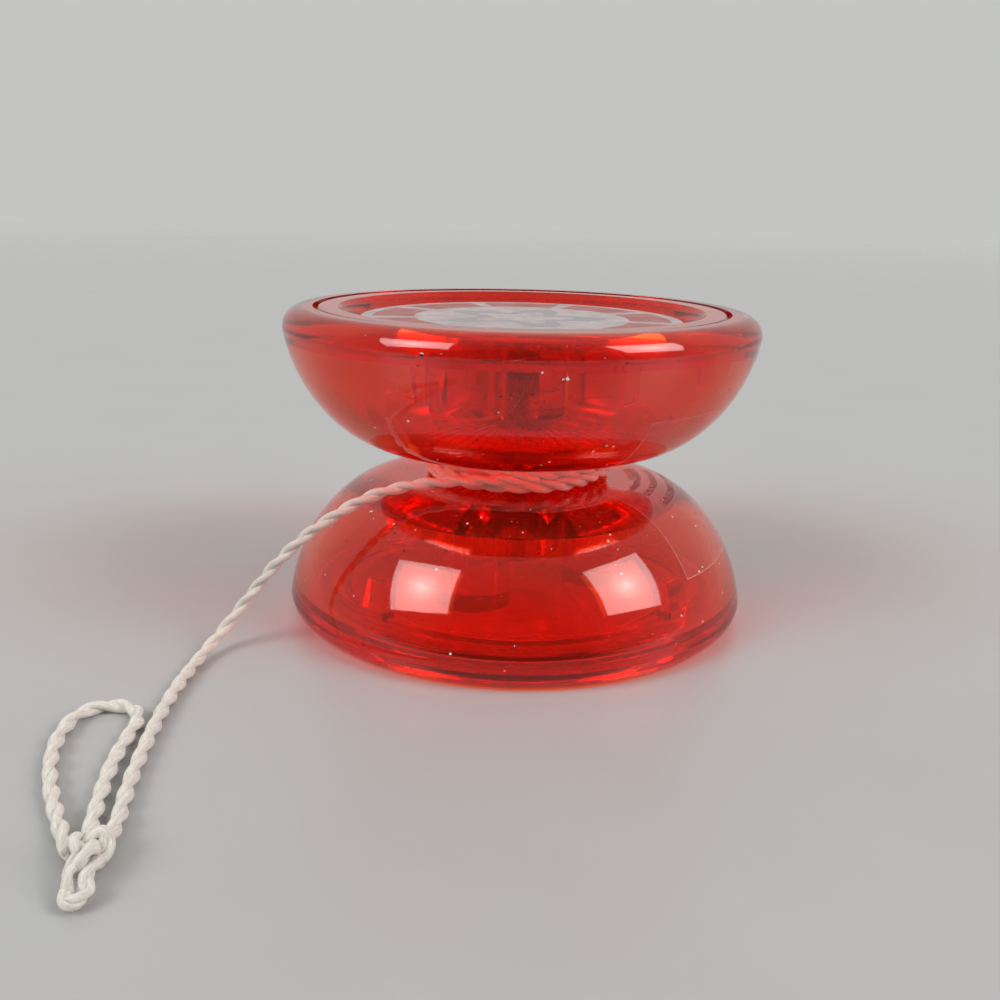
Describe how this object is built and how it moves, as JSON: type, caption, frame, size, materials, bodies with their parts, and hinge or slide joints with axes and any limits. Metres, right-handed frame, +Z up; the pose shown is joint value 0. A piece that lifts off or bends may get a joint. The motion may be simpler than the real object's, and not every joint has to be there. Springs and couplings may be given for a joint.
{
  "type": "yo-yo",
  "caption": "Clear red butterfly yo-yo standing on its rim, string wound on a ball bearing, with a finger loop.",
  "frame": {"origin": "centre of the lower rim's plane, on the axle's line, where the yo-yo stands", "axes": "+Z up along the axle, from the lower half to the upper half; the free string lies towards -X and -Y"},
  "size_m": [0.0726, 0.0931, 0.038],
  "materials": {
    "shell_plastic": "clear red polycarbonate with glitter, polished",
    "cap_plastic": "clear red polycarbonate, polished",
    "decal_print": "printed foil disc, satin",
    "label_film": "clear printed film",
    "axle_steel": "threaded zinc-plated steel",
    "nut_steel": "zinc-plated steel",
    "spacer_aluminium": "turned aluminium",
    "bearing_steel": "ground bearing steel",
    "ball_steel": "polished bearing steel",
    "cage_brass": "pressed brass",
    "shield_steel": "pressed steel",
    "string_cotton": "undyed two-ply twisted cotton"
  },
  "bodies": {
    "lower_half": {"lower_half_shell": "shell_plastic", "lower_cap": "cap_plastic", "lower_decal": "decal_print", "lower_label": "label_film", "axle": "axle_steel", "lower_axle_nut": "nut_steel", "lower_spacer": "spacer_aluminium", "bearing_inner_race": "bearing_steel"},
    "upper_carrier": {"upper_spacer": "spacer_aluminium"},
    "upper_half": {"upper_half_shell": "shell_plastic", "upper_cap": "cap_plastic", "upper_decal": "decal_print", "upper_label": "label_film", "upper_axle_nut": "nut_steel"},
    "string_bearing": {"bearing_outer_race": "bearing_steel", "lower_shield": "shield_steel", "upper_shield": "shield_steel", "string_winding": "string_cotton", "string_tail": "string_cotton", "finger_loop": "string_cotton", "string_knot": "string_cotton"},
    "ball_cage": {"bearing_cage": "cage_brass", "bearing_balls": "ball_steel"}
  },
  "joints": [
    {"name": "string_spin", "type": "hinge", "parent": "lower_half", "child": "string_bearing", "pos_m": [0, 0, 0.019], "axis": [0, 0, 1], "continuous": true},
    {"name": "ball_cage_spin", "type": "hinge", "parent": "lower_half", "child": "ball_cage", "pos_m": [0, 0, 0.019], "axis": [0, 0, 1], "continuous": true},
    {"name": "upper_half_rise", "type": "slide", "parent": "lower_half", "child": "upper_carrier", "axis": [0, 0, 1], "range_m": [0, 0.00226]},
    {"name": "upper_half_unscrew", "type": "hinge", "parent": "upper_carrier", "child": "upper_half", "pos_m": [0, 0, 0.0275], "axis": [0, 0, 1], "range_deg": [0, 1620]}
  ],
  "couplings": [
    {"joint": "ball_cage_spin", "follows": "string_spin", "ratio": 0.63393},
    {"joint": "upper_half_rise", "follows": "upper_half_unscrew", "m_per_rad": 0.000079577}
  ]
}
